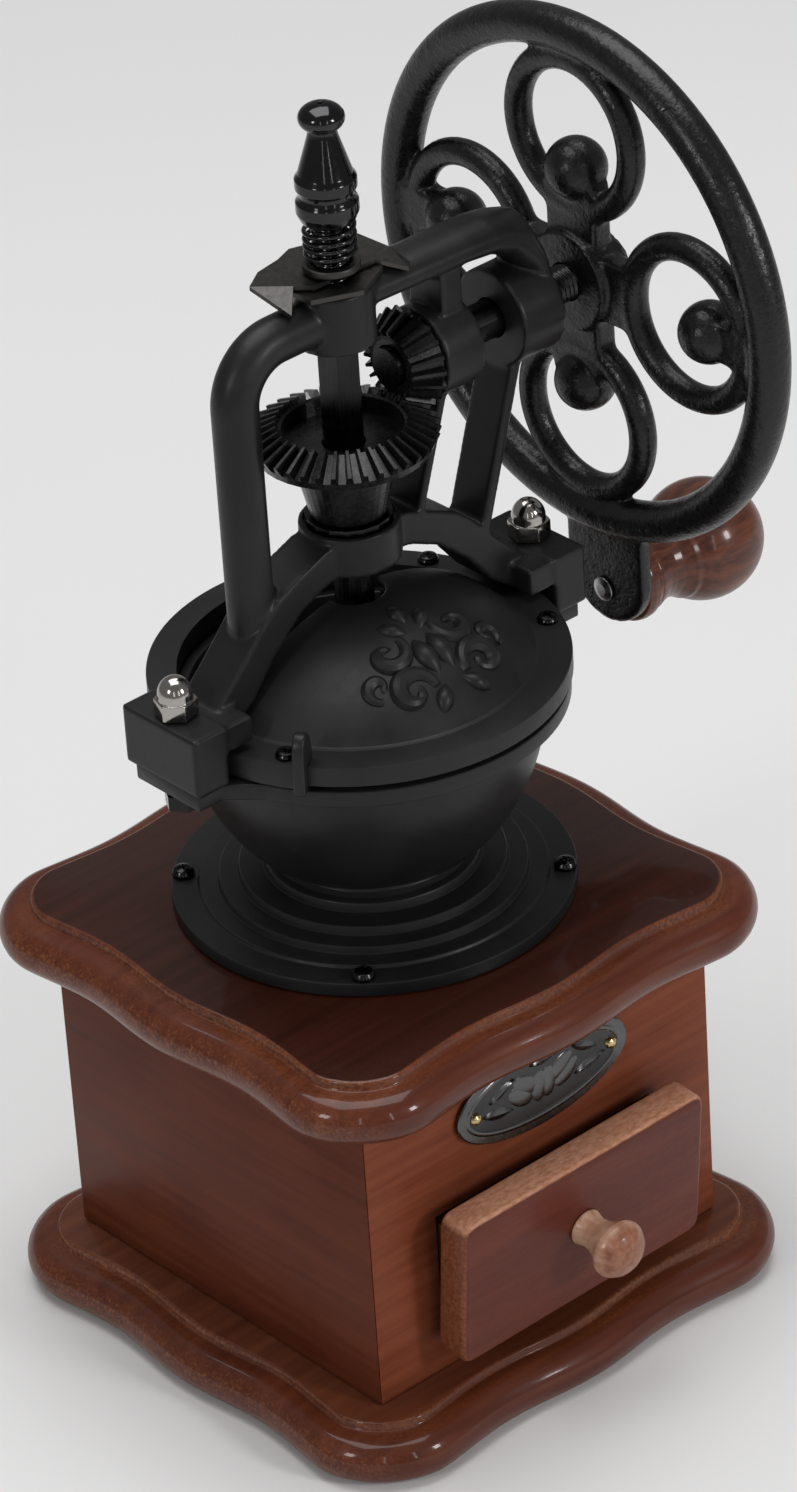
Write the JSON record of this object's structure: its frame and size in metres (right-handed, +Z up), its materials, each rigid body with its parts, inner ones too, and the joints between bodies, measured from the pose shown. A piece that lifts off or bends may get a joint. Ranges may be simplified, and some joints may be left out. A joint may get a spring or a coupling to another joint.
{
  "type": "burr coffee grinder",
  "caption": "Hand-turned burr coffee grinder with a flywheel, bevel gears, a cast hopper and yoke, and a wooden drawer base.",
  "frame": {"origin": "centre of the base board's underside", "axes": "+Z up, the drawer opens towards -Y, the flywheel is on the +X side"},
  "size_m": [0.1495, 0.122, 0.2448],
  "materials": {
    "varnished_wood": "gloss red-brown varnish",
    "drawer_wood": "satin red-brown varnish",
    "pale_wood": "plain turned or sawn wood",
    "grip_wood": "gloss reddish-brown varnish",
    "black_casting": "satin black paint",
    "wheel_paint": "gloss black crinkled enamel",
    "gear_steel": "blackened steel",
    "steel": "plain steel",
    "black_screw": "black zinc",
    "nickel": "bright nickel",
    "black_nickel": "black nickel",
    "gunmetal": "antique gunmetal",
    "brass": "brass",
    "plate_steel": "stamped steel"
  },
  "bodies": {
    "frame": {"base_board": "varnished_wood", "top_board": "varnished_wood", "front_panel": "varnished_wood", "side_left": "varnished_wood", "side_right": "varnished_wood", "back_panel": "varnished_wood", "drawer_runner_left": "pale_wood", "drawer_runner_right": "pale_wood", "name_plate": "gunmetal", "plate_pin_left": "brass", "plate_pin_right": "brass", "hopper_bowl": "black_casting", "flange_screw_1": "black_screw", "flange_screw_2": "black_screw", "flange_screw_3": "black_screw", "flange_screw_4": "black_screw", "outer_burr": "gear_steel", "lid": "black_casting", "lid_screw_1": "black_screw", "lid_screw_2": "black_screw", "lid_screw_3": "black_screw", "lid_screw_4": "black_screw", "yoke": "black_casting", "ear_bolt_left": "black_screw", "ear_bolt_right": "black_screw", "cap_nut_left": "nickel", "cap_nut_right": "nickel", "stop_plate": "plate_steel"},
    "drawer": {"drawer_front": "drawer_wood", "drawer_bottom": "pale_wood", "drawer_side_left": "pale_wood", "drawer_side_right": "pale_wood", "drawer_back": "pale_wood", "drawer_knob": "pale_wood", "drawer_knob_screw": "steel"},
    "wheel": {"wheel_shaft": "steel", "pinion": "gear_steel", "flywheel": "wheel_paint", "wheel_nut": "wheel_paint", "handle_pin": "steel"},
    "handle": {"handle_grip": "grip_wood"},
    "spindle": {"spindle": "steel", "crown_gear": "gear_steel", "gear_washer": "steel", "inner_burr": "gear_steel", "burr_screw": "steel"},
    "door": {"lid_door": "black_casting"},
    "adjuster": {"adjusting_knob": "black_nickel", "adjusting_rod": "steel"},
    "lock": {"locking_plate": "plate_steel", "spring_cup": "steel", "adjusting_spring": "steel"}
  },
  "joints": [
    {"name": "wheel_spin", "type": "hinge", "parent": "frame", "child": "wheel", "pos_m": [0.0583, 0, 0.1889], "axis": [1, 0, 0], "continuous": true},
    {"name": "spindle_spin", "type": "hinge", "parent": "frame", "child": "spindle", "pos_m": [0, 0, 0.1889], "axis": [0, 0, 1], "continuous": true},
    {"name": "handle_spin", "type": "hinge", "parent": "wheel", "child": "handle", "pos_m": [0.075, -0.0041, 0.1255], "axis": [1, 0, 0], "continuous": true},
    {"name": "drawer_slide", "type": "slide", "parent": "frame", "child": "drawer", "axis": [0, -1, 0], "range_m": [-0.0015, 0.06]},
    {"name": "door_turn", "type": "hinge", "parent": "frame", "child": "door", "pos_m": [0, 0, 0.1305], "axis": [0, 0, 1], "range_deg": [0, 110]},
    {"name": "adjuster_turn", "type": "hinge", "parent": "frame", "child": "adjuster", "pos_m": [0, 0, 0.23], "axis": [0, 0, 1], "range_deg": [-180, 180]},
    {"name": "lock_lift", "type": "slide", "parent": "frame", "child": "lock", "axis": [0, 0, 1], "range_m": [0, 0.002], "stiffness_N_per_m": 300, "springref_m": -0.003, "deforming": ["adjusting_spring"]}
  ],
  "couplings": [
    {"joint": "spindle_spin", "follows": "wheel_spin", "ratio": 0.52632}
  ]
}
